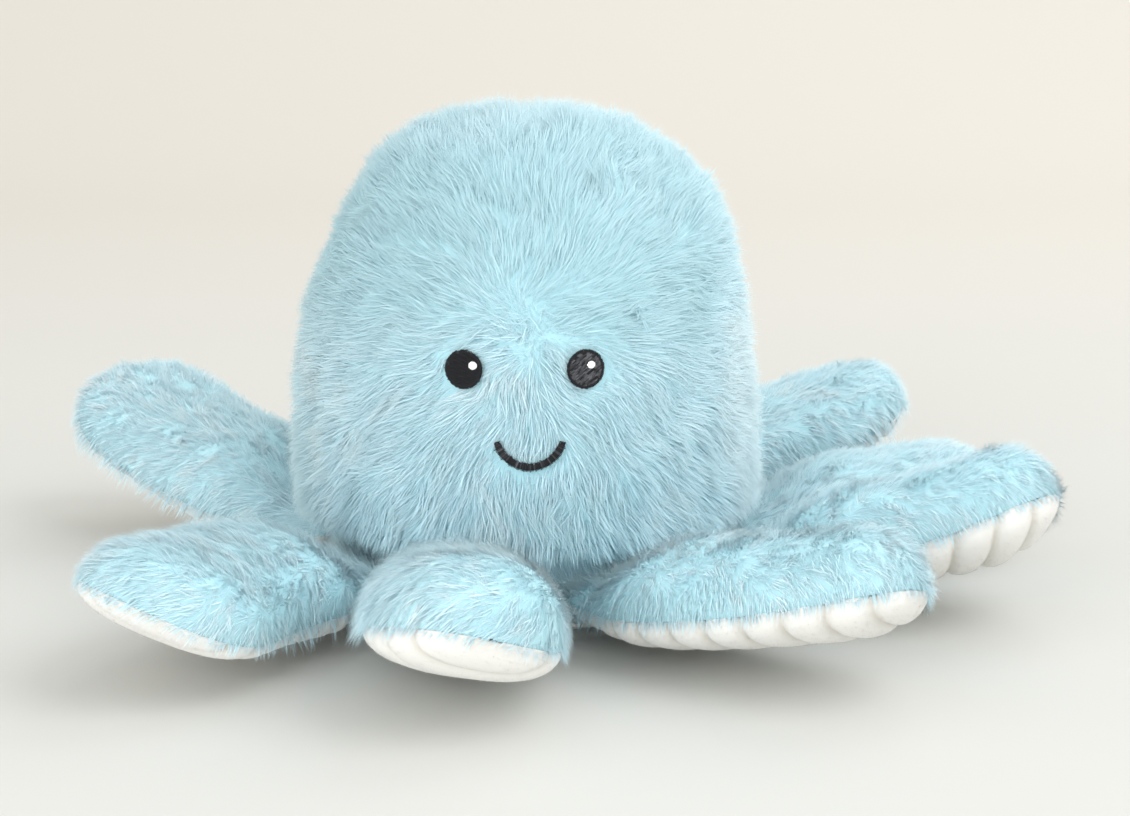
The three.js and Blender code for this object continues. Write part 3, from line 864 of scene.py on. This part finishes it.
def stitches(ends_a, ends_b, settings, tones, rise, depth=STITCH_DEPTH, across=0.5):
    """Stitches between places seen from the front, each lying over the cloth in a low arch."""
    a, b = on_face(*ends_a.T, depth), on_face(*ends_b.T, depth)
    middle_place = (ends_a + ends_b) / 2
    normals = face_normals(*middle_place.T)
    middle = on_face(*middle_place.T, depth) + normals * rise
    widths = np.full(len(a), settings.thickness * across)
    return copies("stitch", (a, middle, b), normals, widths, widths * 0.8, tones, normals, 0.25)


def backing_patch(name, centre, half_width, half_height):
    deselect()
    bpy.ops.mesh.primitive_circle_add(vertices=48, radius=1, fill_type="TRIFAN")
    patch = bpy.context.object
    patch.name = name
    for vertex in patch.data.vertices:
        x, z = centre[0] + vertex.co.x * half_width, centre[1] + vertex.co.y * half_height
        vertex.co = on_face(np.array(x), np.array(z), PATCH_DEPTH)
    apply_solidify(patch, thickness=CLOTH["patch"], offset=-1)
    return patch


def fill_rows(centre, half_width, half_height, pitch, angle, length, rng):
    """Rows of running stitches that fill an ellipse, each row's stitches shifted from the last."""
    firsts, seconds = [], []
    turn = math.radians(angle)
    along = np.array((math.cos(turn), math.sin(turn)))
    over = np.array((-math.sin(turn), math.cos(turn)))
    reach = math.hypot(half_width * over[0], half_height * over[1])
    line = np.linspace(-1.3, 1.3, 521) * max(half_width, half_height)
    for row, level in enumerate(np.arange(-reach + pitch / 2, reach, pitch)):
        places = line[:, None] * along + level * over
        inside = (places[:, 0] / half_width) ** 2 + (places[:, 1] / half_height) ** 2 < 1
        if not inside.any():
            continue
        low, high = line[inside][0], line[inside][-1]
        cuts = np.arange(low - length * ((row * 0.37) % 1), high, length) + rng.normal() * STITCH["shift"]
        cuts = cuts[(cuts > low + STITCH["least"]) & (cuts < high - STITCH["least"])]
        bounds = np.concatenate([[low], cuts, [high]])
        for first, second in zip(bounds[:-1], bounds[1:]):
            firsts.append(centre + first * along + level * over)
            seconds.append(centre + second * along + level * over)
    return np.array(firsts), np.array(seconds)


class OBJECT_OT_plush_face(bpy.types.Operator):
    """Stitch the eyes, their highlights and the mouth"""
    bl_idname = "object.plush_face"
    bl_label = "Stitched face"

    def execute(self, context):
        settings = context.scene.plush_thread
        rng = np.random.default_rng(FACE_SEED)
        black = thread_material(settings)
        white = bpy.data.materials["white_thread"]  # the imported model's own finish
        for name, eye in EYES.items():
            centre = np.array((eye.side * EYE["spacing"] / 2, EYE["height"]))
            parts = self.eye_parts(name, eye, centre, settings, rng)
            self.finish(assemble(name + "_stitches", parts, black), name, "thread")
            glint = self.glint(eye, centre, settings, rng)
            highlight = assemble(name + "_highlight_stitches", [glint], white)
            self.finish(highlight, name + "_highlight", "white_thread")
        self.finish(assemble("mouth_stitches", self.mouth_parts(settings, rng), black), "mouth", "thread")
        return {"FINISHED"}

    def eye_parts(self, name, eye, centre, settings, rng):
        """A dark patch, the stitches that fill the eye and the satin rim round it."""
        half_width, half_height = EYE["width"] / 2, EYE["tall"] / 2
        inner, outer = STITCH["fill_margin"], STITCH["patch_margin"]
        patch = backing_patch(name + "_patch", centre, half_width - outer, half_height - outer)
        first, second = fill_rows(centre, half_width - inner, half_height - inner, STITCH["row"],
                                  eye.angle, eye.length, rng)
        tones = eye.tone + rng.normal(size=len(first)) * eye.spread
        fill = stitches(first, second, settings, tones, STITCH["rise"])
        turn = np.arange(0, 2 * math.pi, STITCH["rim_step"] / half_width)
        ring = np.stack([np.cos(turn) * half_width, np.sin(turn) * half_height], -1)
        width = STITCH["rim"] + rng.normal(size=len(turn)) * 0.00008
        inside = ring * (1 - width / half_width)[:, None]
        outside = ring * (1 + rng.normal(size=(len(turn), 1)) * 0.012)
        tones = rng.normal(size=len(turn)) * 0.1 - 0.1
        rim = stitches(centre + inside, centre + outside, settings, tones, STITCH["rim_rise"])
        return [skin_part(patch, *PATCH_PLACE), fill, rim]

    def glint(self, eye, centre, settings, rng):
        spot = centre + np.array((eye.glint_x, eye.glint_z)) * EYE["width"]
        radius = eye.glint_size * EYE["width"] / 2
        first, second = fill_rows(spot, radius, radius, STITCH["glint_row"], 90, STITCH["glint_length"], rng)
        tones = 0.8 + rng.normal(size=len(first)) * 0.1
        depth = STITCH_DEPTH - STITCH["glint_lift"]
        return stitches(first, second, settings, tones, STITCH["glint_rise"], depth)

    def mouth_parts(self, settings, rng):
        """A dark strip and satin stitches across it, narrower at the corners of the mouth."""
        radius, stroke = MOUTH["radius"], MOUTH["stroke"]
        centre = np.array((MOUTH["offset"], MOUTH["low"] + radius))
        half = math.radians(MOUTH["half_angle"])
        turn = np.arange(-half, half, STITCH["satin_step"] / radius)
        way = np.stack([np.sin(turn), -np.cos(turn)], -1)
        jitter = rng.normal(size=(2, len(turn), 1)) * STITCH["satin_jitter"]
        taper = np.clip((half - abs(turn)) / 0.12, 0.35, 1)[:, None]
        reach = stroke * STITCH["satin_reach"] * taper
        inside = centre + way * (radius - reach + jitter[0])
        outside = centre + way * (radius + reach + jitter[1])
        # Painted sheen: some satin stitches are lighter at random.
        tones = abs(rng.normal(size=len(turn))) * 0.34 - 0.20
        satin = stitches(inside, outside, settings, tones, STITCH["satin_rise"], across=0.52)
        u, v = np.meshgrid(np.linspace(-half, half, 41), np.linspace(-0.4, 0.4, 5))
        middle = radius + v * stroke
        strip = on_face(centre[0] + np.sin(u) * middle, centre[1] - np.cos(u) * middle, PATCH_DEPTH)
        patch = cloth_from_grid("mouth_patch", strip[::-1], CLOTH["patch"])
        return [skin_part(patch, *PATCH_PLACE), satin]

    def finish(self, piece, node, slot):
        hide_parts(node)
        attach(piece, "body")


# Materials

def new_material(name):
    material = bpy.data.materials.new(name)
    material.use_nodes = True
    tree = material.node_tree
    return material, tree, tree.nodes["Principled BSDF"]


def feed(tree, node, inputs):
    """Gives a node its inputs, as values or as other nodes' outputs."""
    for socket, value in inputs.items():
        if isinstance(value, bpy.types.NodeSocket):
            tree.links.new(value, node.inputs[socket])
        else:
            node.inputs[socket].default_value = value


def add(tree, kind, inputs, **settings):
    """The outputs of a new node."""
    node = tree.nodes.new("ShaderNode" + kind)
    for key, value in settings.items():
        setattr(node, key, value)
    feed(tree, node, inputs)
    return node.outputs


def blend(tree, factor, a, b):
    return add(tree, "Mix", {"Factor": factor, "A": a, "B": b}, data_type="RGBA")["Result"]


def maths(tree, operation, *values, clamp=False):
    return add(tree, "Math", dict(enumerate(values)), operation=operation, use_clamp=clamp)[0]


def bumped(tree, height, strength, distance):
    return add(tree, "Bump", {"Height": height, "Strength": strength, "Distance": distance})["Normal"]


def ramp(tree, value, low, high, kind="SMOOTHSTEP"):
    inputs = {"Value": value, "From Min": low, "From Max": high}
    return add(tree, "MapRange", inputs, interpolation_type=kind)["Result"]


def pile_group():
    """Colour, roughness and relief of a pile, from its place on the palette: tone across, height up."""
    name = "pile_colours"
    if name in bpy.data.node_groups:
        return bpy.data.node_groups[name]
    group = bpy.data.node_groups.new(name, "ShaderNodeTree")
    for way, sockets in (
            ("INPUT", {"Palette": "Vector", "Root": "Color", "Middle": "Color", "Tip": "Color",
                       "Shade": "Float", "Streaks": "Float"}),
            ("OUTPUT", {"Colour": "Color", "Roughness": "Float", "Relief": "Float"})):
        for socket, kind in sockets.items():
            group.interface.new_socket(socket, in_out=way, socket_type="NodeSocket" + kind)
    given = group.nodes.new("NodeGroupInput").outputs
    out = group.nodes.new("NodeGroupOutput")
    tone, height, _ = add(group, "SeparateXYZ", {0: given["Palette"]})
    stretched = add(group, "Mapping", {"Vector": given["Palette"], "Scale": (420, 7, 1)})["Vector"]
    fibres = add(group, "TexNoise", {"Vector": stretched, "Scale": 1, "Detail": 3})["Fac"]
    # Painted shade: the fur turns darker towards its roots.
    colour = blend(group, ramp(group, height, 0.0, 0.36), given["Root"], given["Middle"])
    colour = blend(group, ramp(group, height, 0.45, 1.0), colour, given["Tip"])
    # Low tones turn towards the root colour: random mottling, and painted shade where the tone was lowered
    # for it.
    darkness = maths(group, "SUBTRACT", 0.8, tone, clamp=True)
    colour = blend(group, maths(group, "MULTIPLY", darkness, given["Shade"]), colour, given["Root"])
    # Painted light: the highest tones, raised at the head's right side and crown, turn pale.
    colour = blend(group, ramp(group, tone, 0.84, 1.16, "LINEAR"), colour, (0.85, 0.965, 1.0, 1))
    colour = blend(group, maths(group, "MULTIPLY", fibres, given["Streaks"]), colour, given["Root"])
    rough = add(group, "MapRange", {"Value": fibres, "To Min": 0.95, "To Max": 0.75})["Result"]
    feed(group, out, {"Colour": colour, "Roughness": rough, "Relief": fibres})
    return group


def pile_like_material(name, colours, shade, streaks, sheen, relief):
    if name in bpy.data.materials:
        return bpy.data.materials[name]
    material, tree, shader = new_material(name)
    palette = add(tree, "UVMap", {}, uv_map="OFBake")["UV"]
    root, middle, tip = ((*colour, 1) for colour in colours)
    node = tree.nodes.new("ShaderNodeGroup")
    node.node_tree = pile_group()
    feed(tree, node, {"Palette": palette, "Root": root, "Middle": middle, "Tip": tip,
                      "Shade": shade, "Streaks": streaks})
    feed(tree, shader, {
        "Base Color": node.outputs["Colour"], "Roughness": node.outputs["Roughness"],
        "Normal": bumped(tree, node.outputs["Relief"], relief, 0.0002), "Specular IOR Level": 0.08,
        "Sheen Weight": sheen, "Sheen Roughness": 0.5})
    return material


def pile_material(settings):
    colours = (settings.root_shade_colour, settings.middle_colour, settings.tip_colour)
    return pile_like_material("blue_fur", colours, shade=0.75, streaks=0.16, sheen=0.0, relief=0.08)


def sole_material(settings):
    middle = [0.5 * (a + b) for a, b in zip(settings.groove_shade_colour, settings.colour)]
    colours = (settings.groove_shade_colour, middle, settings.colour)
    return pile_like_material("white_ribbed_plush", colours, shade=0.12, streaks=0.05, sheen=0.2, relief=0.1)


def thread_material(settings):
    """Thread that turns from black to a charcoal of painted sheen with its tone, with the plies that it is
    twisted from.
    """
    material, tree, shader = new_material("black_thread")
    palette = add(tree, "UVMap", {}, uv_map="OFBake")["UV"]
    tone = add(tree, "SeparateXYZ", {0: palette})["X"]
    stretched = add(tree, "Mapping", {"Vector": palette, "Scale": (300, 30, 1)})["Vector"]
    ply = add(tree, "TexNoise", {"Vector": stretched, "Scale": 1})["Fac"]
    shade = maths(tree, "MULTIPLY_ADD", ply, 0.12, tone, clamp=True)
    colour = blend(tree, shade, (*settings.black, 1), (*settings.painted_sheen, 1))
    feed(tree, shader, {
        "Base Color": colour, "Roughness": 0.55, "Specular IOR Level": 0.18,
        "Normal": bumped(tree, ply, 0.3, 0.0001)})
    return material


def cloth_material(name, dark, light, scale, relief):
    """Loose fibre or plain cotton, mottled between two colours."""
    material, tree, shader = new_material(name)
    place = add(tree, "TexCoord", {})["Object"]
    noise = add(tree, "TexNoise", {"Vector": place, "Scale": scale, "Detail": 5, "Distortion": 1.2})["Fac"]
    feed(tree, shader, {
        "Base Color": blend(tree, noise, (*dark, 1), (*light, 1)), "Roughness": 0.95,
        "Normal": bumped(tree, noise, relief, 0.001)})
    return material


def paper_material(settings):
    """Smooth paper that turns from the floor's colour to the backdrop's, with a faint grain."""
    material, tree, shader = new_material("stage_paper")
    place = add(tree, "TexCoord", {})["Object"]
    depth = add(tree, "SeparateXYZ", {0: place})["Y"]
    change = ramp(tree, depth, *SWEEP["change"])
    colour = blend(tree, change, (*settings.floor_colour, 1), (*settings.backdrop_colour, 1))
    path = add(tree, "LightPath", {})
    seen = path["Is Camera Ray"]
    for ray in ("Is Glossy Ray", "Is Transmission Ray"):
        seen = maths(tree, "MAXIMUM", seen, path[ray])
    glow = maths(tree, "MULTIPLY", maths(tree, "MULTIPLY", seen, change), settings.backdrop_lift)
    grain = add(tree, "TexNoise", {"Vector": place, "Scale": 700})["Fac"]
    feed(tree, shader, {
        "Base Color": colour, "Emission Color": colour, "Emission Strength": glow, "Roughness": 0.9,
        "Specular IOR Level": 0.1, "Normal": bumped(tree, grain, 0.02, 0.0002)})
    return material


class OBJECT_OT_plush_stuffing(bpy.types.Operator):
    """Give the stuffing and the pellet pouch their fibre and cotton"""
    bl_idname = "object.plush_stuffing"
    bl_label = "Stuffing"

    def execute(self, context):
        fibre = cloth_material("white_fibre", (0.80, 0.80, 0.78), (0.92, 0.92, 0.91), 900, 0.8)
        cotton = cloth_material("pouch_cotton", (0.62, 0.57, 0.47), (0.78, 0.74, 0.65), 2600, 0.4)
        for name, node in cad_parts.items():
            if name.endswith("filling") or name == "weighted_pouch":
                for slot in node.material_slots:
                    slot.material = cotton if name == "weighted_pouch" else fibre
        return {"FINISHED"}


# Stage

class OBJECT_OT_plush_stage(bpy.types.Operator):
    """Set the pale floor and backdrop, the lamps and the camera"""
    bl_idname = "object.plush_stage"
    bl_label = "Stage"

    def execute(self, context):
        settings = context.scene.plush_stage
        sweep = self.sweep()
        sweep.data.materials.append(paper_material(settings))
        for name, (place, width) in LAMPS.items():
            self.lamp(name + "_lamp", place, width, getattr(settings, name + "_power"))
        world = bpy.data.worlds.new("room")
        world.use_nodes = True
        background = world.node_tree.nodes["Background"]
        background.inputs["Color"].default_value = (1.0, 0.995, 0.985, 1)
        background.inputs["Strength"].default_value = settings.world_strength
        context.scene.world = world
        camera_data = bpy.data.cameras.new("camera")
        camera_data.lens, camera_data.sensor_width = CAMERA["lens"], CAMERA["sensor"]
        camera = bpy.data.objects.new("camera", camera_data)
        context.scene.collection.objects.link(camera)
        camera.location = CAMERA["place"]
        pan, tilt = math.radians(CAMERA["pan"]), math.radians(CAMERA["tilt"])
        camera.rotation_euler = (math.pi / 2 - tilt, 0, -pan)
        context.scene.camera = camera
        context.scene.view_settings.view_transform = "Standard"
        return {"FINISHED"}

    def sweep(self):
        """A floor that bends up into a backdrop behind the toy."""
        deselect()
        bpy.ops.mesh.primitive_plane_add(size=1, location=(0, 0, 0))
        sweep = bpy.context.object
        sweep.name = "floor_and_backdrop"
        for vertex in sweep.data.vertices:
            y = SWEEP["front"] if vertex.co.y < 0 else SWEEP["back"]
            vertex.co = (vertex.co.x * SWEEP["width"], y, 0)
        bpy.ops.object.mode_set(mode="EDIT")
        bpy.ops.mesh.select_mode(type="EDGE")
        bpy.ops.mesh.select_all(action="DESELECT")
        self.select_back_edge(sweep)
        bpy.ops.mesh.extrude_region_move(TRANSFORM_OT_translate={"value": (0, 0, SWEEP["height"])})
        self.select_back_edge(sweep)
        bpy.ops.mesh.bevel(offset=SWEEP["bend"], segments=24, affect="EDGES")
        bpy.ops.object.mode_set(mode="OBJECT")
        bpy.ops.object.shade_smooth()
        return sweep

    def select_back_edge(self, sweep):
        """Selects only the edge where the floor ends, and goes on in edit mode."""
        bpy.ops.object.mode_set(mode="OBJECT")
        for edge in sweep.data.edges:
            ends = [sweep.data.vertices[v].co for v in edge.vertices]
            edge.select = all(end.y > 1 and end.z < 0.01 for end in ends)
        bpy.ops.object.mode_set(mode="EDIT")

    def lamp(self, name, place, width, power):
        light = bpy.data.lights.new(name, "AREA")
        light.shape, light.size, light.energy = "DISK", width, power
        lamp = bpy.data.objects.new(name, light)
        bpy.context.scene.collection.objects.link(lamp)
        lamp.location = place
        lamp.rotation_euler = (Vector(LAMP_AIM) - Vector(place)).to_track_quat("-Z", "Y").to_euler()


# Panel and registration

class VIEW3D_PT_plush_octopus(bpy.types.Panel):
    """Lists the settings and the steps that make the octopus"""
    bl_label = "Plush octopus"
    bl_idname = "VIEW3D_PT_plush_octopus"
    bl_space_type = "VIEW_3D"
    bl_region_type = "UI"
    bl_category = "Plush"

    def draw(self, context):
        for group in SETTINGS:
            box = self.layout.box()
            values = getattr(context.scene, group)
            for name in values.__annotations__:
                box.prop(values, name)
        for operator in OPERATORS:
            self.layout.operator(operator.bl_idname)


SETTINGS = {
    "plush_pile": PlushPileSettings, "plush_sole": PlushSoleSettings,
    "plush_thread": PlushThreadSettings, "plush_stage": PlushStageSettings,
}
OPERATORS = (
    OBJECT_OT_plush_stage, OBJECT_OT_plush_head, OBJECT_OT_plush_arms, OBJECT_OT_plush_soles,
    OBJECT_OT_plush_base, OBJECT_OT_plush_face, OBJECT_OT_plush_stuffing,
)


def register():
    for cls in (*SETTINGS.values(), *OPERATORS, VIEW3D_PT_plush_octopus):
        bpy.utils.register_class(cls)
    for name, group in SETTINGS.items():
        setattr(bpy.types.Scene, name, bpy.props.PointerProperty(type=group))


def unregister():
    for name in SETTINGS:
        delattr(bpy.types.Scene, name)
    for cls in (VIEW3D_PT_plush_octopus, *OPERATORS[::-1], *list(SETTINGS.values())[::-1]):
        bpy.utils.unregister_class(cls)


def main():
    register()
    make_masters()
    bpy.ops.object.plush_stage()
    bpy.ops.object.plush_head()
    bpy.ops.object.plush_arms()
    bpy.ops.object.plush_soles()
    bpy.ops.object.plush_base()
    bpy.ops.object.plush_face()
    bpy.ops.object.plush_stuffing()


if __name__ == "__main__":
    main()
